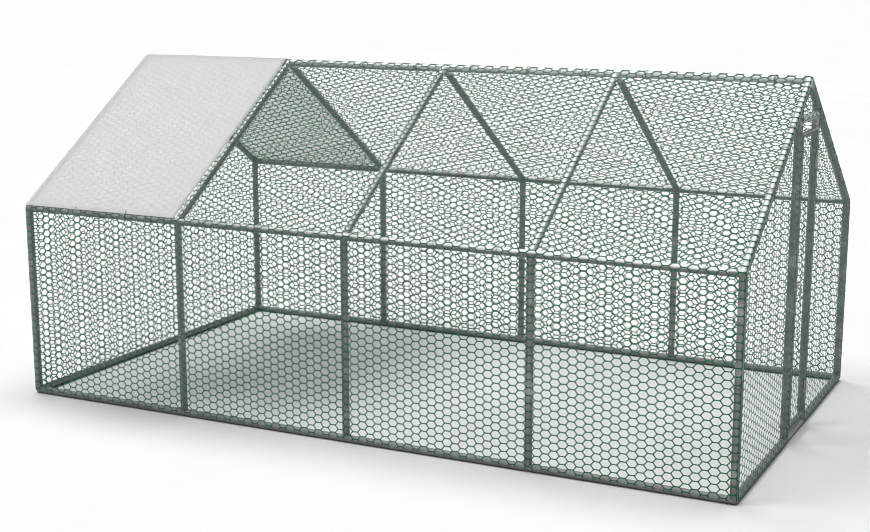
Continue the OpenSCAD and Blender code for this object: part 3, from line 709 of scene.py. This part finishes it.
def sheet_grid():
    """The sheet's grid lines over the roof and along the run, with some at its hems and eyelets."""
    hem_marks = [HEM_W, HEM_W + HEM_STEP]
    border_marks = hem_marks + [eyelet_path - EYELET_R, eyelet_path + EYELET_R]
    path_marks = border_marks + [path_len - mark for mark in border_marks]
    x_marks = [sheet_low.x + mark for mark in hem_marks] + [sheet_high.x - mark for mark in hem_marks]
    x_marks += [x + sign * EYELET_R for x in eyelet_x for sign in (-1, 1)]
    return grid_lines(0, path_len, path_marks), grid_lines(sheet_low.x, sheet_high.x, x_marks)


def over_roof(path):
    """Places up the near slope, round the ridge and down the far slope, in the run's cross-section.

    Returns the points on the tubes' middle line, and the directions straight away from it.
    """
    from_ridge = path - path_len / 2
    side = np.sign(from_ridge)
    down = np.maximum(np.abs(from_ridge) - fold_len / 2, 0)
    tilt = np.where(down > 0, slope, np.abs(from_ridge) / sheet_off)
    outward = np.stack([side * np.sin(tilt), np.cos(tilt)], axis=1)
    point = np.stack([side * down * math.cos(slope), ridge_z - down * math.sin(slope)], axis=1)
    return point, outward


def sheet_lift(path, x):
    """How far the sheet's outer face stands off the tubes' middle line, with its hem and ripples."""
    from_border = np.minimum(
        np.minimum(path, path_len - path), np.minimum(x - sheet_low.x, sheet_high.x - x)
    )
    hem = HEM_T * (from_border <= HEM_W + HEM_STEP / 4)
    slack = np.clip((from_border - TAUT_W) / SLACKENS_W, 0, 1)
    wander = WANDER * np.sin(path * WANDER_TURN)
    waves = np.sin(x * SHORT_TURN + wander) * np.sin(path * LONG_TURN + x * LONG_SKEW)
    return sheet_off + hem + RIPPLE * slack * (1 + RIPPLE_SHARE * waves)


def in_eyelets(lines, spots):
    """Which steps between grid lines lie within an eyelet's hole at one of the spots."""
    centres = (lines[:-1] + lines[1:]) / 2
    return np.any(np.abs(centres[:, None] - np.array(spots)[None, :]) < EYELET_R, axis=1)


def make_cover():
    """Cloth over the rear bay, folded over the ridge, with a raised hem and four eyelets."""
    path, x = sheet_grid()
    point, outward = over_roof(path)
    grid_path, grid_x = np.meshgrid(path, x, indexing="ij")
    lift = sheet_lift(grid_path, grid_x)
    vertices = np.empty((*lift.shape, 3))
    vertices[..., 0] = grid_x
    vertices[..., 1:] = point[:, None, :] + outward[:, None, :] * lift[..., None]
    index = np.arange(lift.size).reshape(lift.shape)
    faces = np.stack([index[:-1, :-1], index[:-1, 1:], index[1:, 1:], index[1:, :-1]], axis=-1)
    hole_path = in_eyelets(path, [eyelet_path, path_len - eyelet_path])
    hole_x = in_eyelets(x, eyelet_x)
    whole = ~(hole_path[:, None] & hole_x[None, :])
    made = mesh_object("roof_sheet", vertices.reshape(-1, 3), faces[whole], sheet_weave)
    thick = made.modifiers.new("thickness", "SOLIDIFY")
    thick.thickness = SHEET_T
    thick.offset = -1
    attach(made, "frame")
    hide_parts("cover")
    rings = make_eyelets()


def eyelet_ring():
    """Vertices and faces of one rolled ring, flat round the origin."""
    around = 32
    section = 8
    turn = np.linspace(0, 2 * math.pi, around, endpoint=False)[:, None]
    roll = np.linspace(0, 2 * math.pi, section, endpoint=False)[None, :]
    radius = EYELET_R + EYELET_W / 2 + EYELET_W / 2 * np.cos(roll)
    height = RING_RISE + RING_HALF_T * np.sin(roll)
    ring = np.stack(
        np.broadcast_arrays(radius * np.cos(turn), radius * np.sin(turn), height), axis=-1
    )
    index = np.arange(around * section).reshape(around, section)
    ahead = np.roll(index, -1, axis=0)
    over = np.roll(index, -1, axis=1)
    both = np.roll(ahead, -1, axis=1)
    faces = np.stack([index, ahead, both, over], axis=-1)
    return ring.reshape(-1, 3), faces.reshape(-1, 4)


def make_eyelets():
    """Rolled metal rings in the sheet's eyelets."""
    ring, ring_faces = eyelet_ring()
    vertices, faces = [], []
    for side in (NEAR, FAR):
        outward, uphill = roof_axes(side)
        axes = np.array([(1, 0, 0), uphill, outward])
        for x in eyelet_x:
            eave = np.array((x, side * half_w, eave_z))
            centre = eave + outward * (sheet_off + HEM_T) + uphill * EYELET_RISE
            faces.append(ring_faces + len(ring) * len(vertices))
            vertices.append(centre + ring @ axes)
    made = mesh_object("sheet_eyelets", np.concatenate(vertices), np.concatenate(faces), eyelet_metal)
    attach(made, "frame")
    return made


# Floor, light and camera

LAMP_STRENGTH = 1.01
LAMP_SPREAD = math.radians(26)
# How each lamp is turned about x and y from shining straight down, in degrees
LAMPS = {"overhead": (-12, 5), "left": (-13, -25), "front": (18, -26)}


def make_sky():
    """A dim sky that lights all round, and a white backdrop that only the camera and the metal see."""
    sky = 0.15
    # Where the backdrop starts to fade and where it ends, from 0 at the horizon to 1 overhead
    fades_from = 0.35
    fades_to = 0.6
    world = bpy.data.worlds.new("studio")
    world.use_nodes = True
    tree = world.node_tree
    direction = add_node(tree, "ShaderNodeTexCoord").outputs["Generated"]
    height = component(tree, direction, "Z")
    backdrop = remapped(tree, height, (fades_from, fades_to), (1 - sky, 0))
    ray = add_node(tree, "ShaderNodeLightPath")
    seen = ray.outputs["Is Camera Ray"]
    for kind in ("Is Glossy Ray", "Is Transmission Ray"):
        seen = calculated(tree, "MAXIMUM", seen, ray.outputs[kind])
    strength = calculated(tree, "MULTIPLY_ADD", seen, backdrop, sky)
    background = tree.nodes["Background"]
    background.inputs["Color"].default_value = (1, 1, 1, 1)
    tree.links.new(strength, background.inputs["Strength"])
    return world


def make_floor():
    """A wide white floor with hardly visible blotches."""
    half_size = 160
    material, tree, shader = new_material("pale_floor")
    blotches = noise(tree, place(tree), scale=0.6)
    tone = toned(tree, blotches, (1, 1, 1), [(0.3, 0.96), (0.7, 0.98)])
    tree.links.new(tone, shader.inputs["Base Color"])
    shader.inputs["Roughness"].default_value = 0.9
    shader.inputs["Specular IOR Level"].default_value = 0.1
    corners = half_size * np.array([(-1, -1, 0), (1, -1, 0), (1, 1, 0), (-1, 1, 0)], float)
    floor = mesh_object("floor", corners, np.array([[0, 1, 2, 3]]), material, smooth=False)


def make_lamps():
    """Three wide, soft lamps of the same strength."""
    for name, (about_x, about_y) in LAMPS.items():
        light = bpy.data.lights.new(name, "SUN")
        light.energy = LAMP_STRENGTH
        light.angle = LAMP_SPREAD
        lamp = bpy.data.objects.new(name, light)
        lamp.rotation_euler = (math.radians(about_x), math.radians(about_y), 0)
        scene.collection.objects.link(lamp)


def make_camera():
    """The photograph's view: from the near front corner, a little above the ridge."""
    looks_down = math.radians(11.50)
    turns_left = math.radians(26.365)
    data = bpy.data.cameras.new("camera")
    data.sensor_fit = "HORIZONTAL"
    data.sensor_width = 36
    data.lens = 60.77
    data.clip_end = 400
    camera = bpy.data.objects.new("camera", data)
    camera.location = (3.574, -7.325, 2.364)
    camera.rotation_euler = (math.radians(90) - looks_down, 0, turns_left)
    scene.collection.objects.link(camera)
    scene.camera = camera


make_side_nets()
make_gable_nets()
make_cover()
make_floor()
scene.world = make_sky()
make_lamps()
make_camera()
scene.view_settings.view_transform = "Standard"
# A narrow pixel filter keeps the thin wires crisp
scene.cycles.filter_width = 0.9
